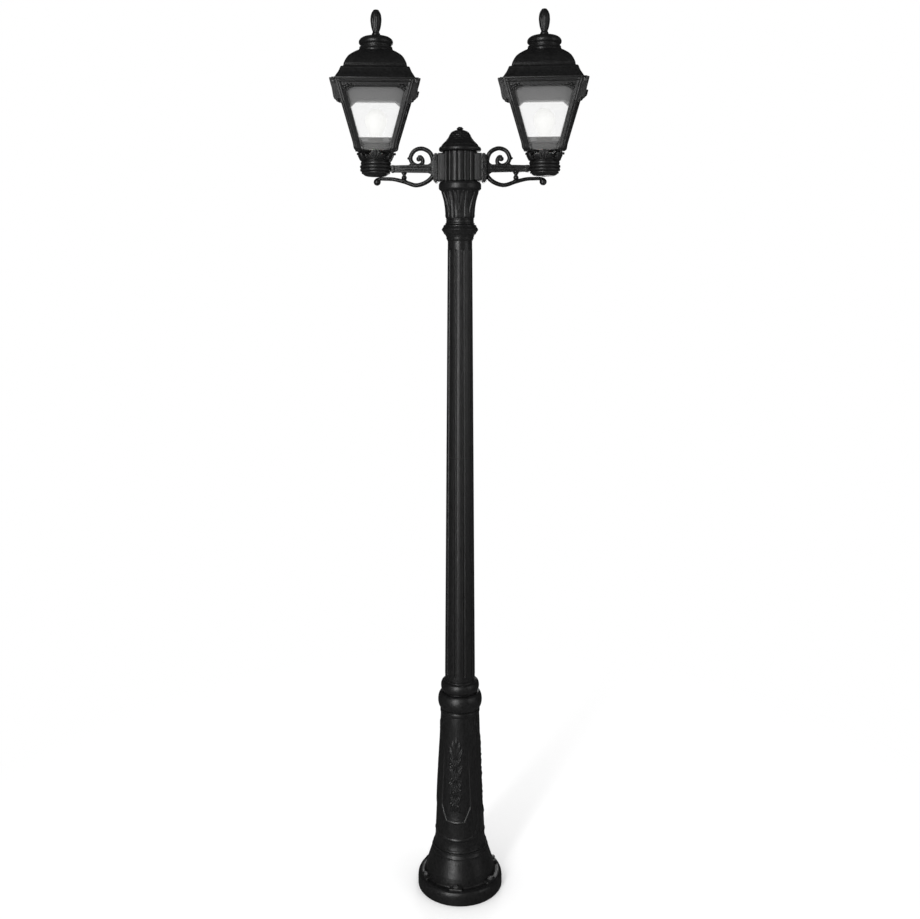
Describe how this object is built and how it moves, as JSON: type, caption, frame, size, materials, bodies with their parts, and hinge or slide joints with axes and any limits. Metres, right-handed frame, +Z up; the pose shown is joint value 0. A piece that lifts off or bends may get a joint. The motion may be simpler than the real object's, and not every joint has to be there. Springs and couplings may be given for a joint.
{
  "type": "street lamp post",
  "caption": "Ornamental garden lamp post with a bell foot, fluted shaft and fluted hub carrying scrolled arms that hold square lanterns with bell roofs and finials.",
  "frame": {"origin": "centre of the foot on the ground", "axes": "+Z up, +X towards the right-hand lantern, -Y towards the front"},
  "size_m": [0.7348, 0.2465, 2.44],
  "materials": {
    "black_cast_resin": "moulded black, satin with a fine cast grain",
    "opal_diffuser": "opal acrylic, smooth",
    "galvanised_steel": "hot-dip galvanised, dull",
    "bright_steel": "zinc plated",
    "black_screw": "black coated",
    "black_rubber": "matt",
    "terminal_plastic": "moulded",
    "brass": "plain turned",
    "holder_ceramic": "white glazed look",
    "bulb_glass": "frosted"
  },
  "bodies": {
    "post": {"anchor_plate": "galvanised_steel", "core_tube": "galvanised_steel", "anchor_bolt_1": "black_screw", "anchor_bolt_2": "black_screw", "anchor_bolt_3": "black_screw", "anchor_bolt_4": "black_screw", "anchor_bolt_5": "black_screw", "anchor_bolt_6": "black_screw", "foot_bell": "black_cast_resin", "base_column": "black_cast_resin", "column_collar": "black_cast_resin", "lower_shaft": "black_cast_resin", "upper_shaft": "black_cast_resin", "shaft_collar": "black_cast_resin", "capital": "black_cast_resin", "supply_cable": "black_rubber"},
    "head": {"hub": "black_cast_resin", "hub_cap": "black_cast_resin", "hub_cap_knob": "black_cast_resin", "hub_lock_screw": "black_screw", "terminal_block": "terminal_plastic", "left_arm": "black_cast_resin", "left_arm_bolt_lower": "bright_steel", "left_arm_bolt_upper": "bright_steel", "left_cup": "black_cast_resin", "left_stem": "brass", "left_lamp_cable": "black_rubber", "right_arm": "black_cast_resin", "right_arm_bolt_lower": "bright_steel", "right_arm_bolt_upper": "bright_steel", "right_cup": "black_cast_resin", "right_stem": "brass", "right_lamp_cable": "black_rubber"},
    "left_lantern": {"left_crown": "black_cast_resin", "left_cage": "black_cast_resin", "left_diffuser": "opal_diffuser", "left_gasket": "black_rubber", "left_lamp_holder": "holder_ceramic", "left_hinge_pin": "bright_steel"},
    "left_lid": {"left_roof": "black_cast_resin", "left_roof_screw_left": "black_screw", "left_roof_screw_right": "black_screw", "left_chimney_cap": "black_cast_resin", "left_finial": "black_cast_resin"},
    "left_bulb": {"left_bulb_base": "bright_steel", "left_bulb_glass": "bulb_glass"},
    "right_lantern": {"right_crown": "black_cast_resin", "right_cage": "black_cast_resin", "right_diffuser": "opal_diffuser", "right_gasket": "black_rubber", "right_lamp_holder": "holder_ceramic", "right_hinge_pin": "bright_steel"},
    "right_lid": {"right_roof": "black_cast_resin", "right_roof_screw_left": "black_screw", "right_roof_screw_right": "black_screw", "right_chimney_cap": "black_cast_resin", "right_finial": "black_cast_resin"},
    "right_bulb": {"right_bulb_base": "bright_steel", "right_bulb_glass": "bulb_glass"}
  },
  "joints": [
    {"name": "head_swivel", "type": "hinge", "parent": "post", "child": "head", "pos_m": [0, 0, 1.955], "axis": [0, 0, 1], "range_deg": [-175, 175]},
    {"name": "left_lantern_swivel", "type": "hinge", "parent": "head", "child": "left_lantern", "pos_m": [-0.236, 0, 2.014], "axis": [0, 0, 1], "range_deg": [-175, 175]},
    {"name": "left_lid_hinge", "type": "hinge", "parent": "left_lantern", "child": "left_lid", "pos_m": [-0.2458, 0.11669, 2.229], "axis": [-0.9965, -0.0837, 0], "range_deg": [0, 95]},
    {"name": "left_bulb_turn", "type": "hinge", "parent": "left_lantern", "child": "left_bulb", "pos_m": [-0.236, 0, 2.08], "axis": [0, 0, 1], "continuous": true},
    {"name": "right_lantern_swivel", "type": "hinge", "parent": "head", "child": "right_lantern", "pos_m": [0.236, 0, 2.014], "axis": [0, 0, 1], "range_deg": [-175, 175]},
    {"name": "right_lid_hinge", "type": "hinge", "parent": "right_lantern", "child": "right_lid", "pos_m": [0.2458, 0.11669, 2.229], "axis": [-0.9965, 0.0837, 0], "range_deg": [0, 95]},
    {"name": "right_bulb_turn", "type": "hinge", "parent": "right_lantern", "child": "right_bulb", "pos_m": [0.236, 0, 2.08], "axis": [0, 0, 1], "continuous": true}
  ]
}
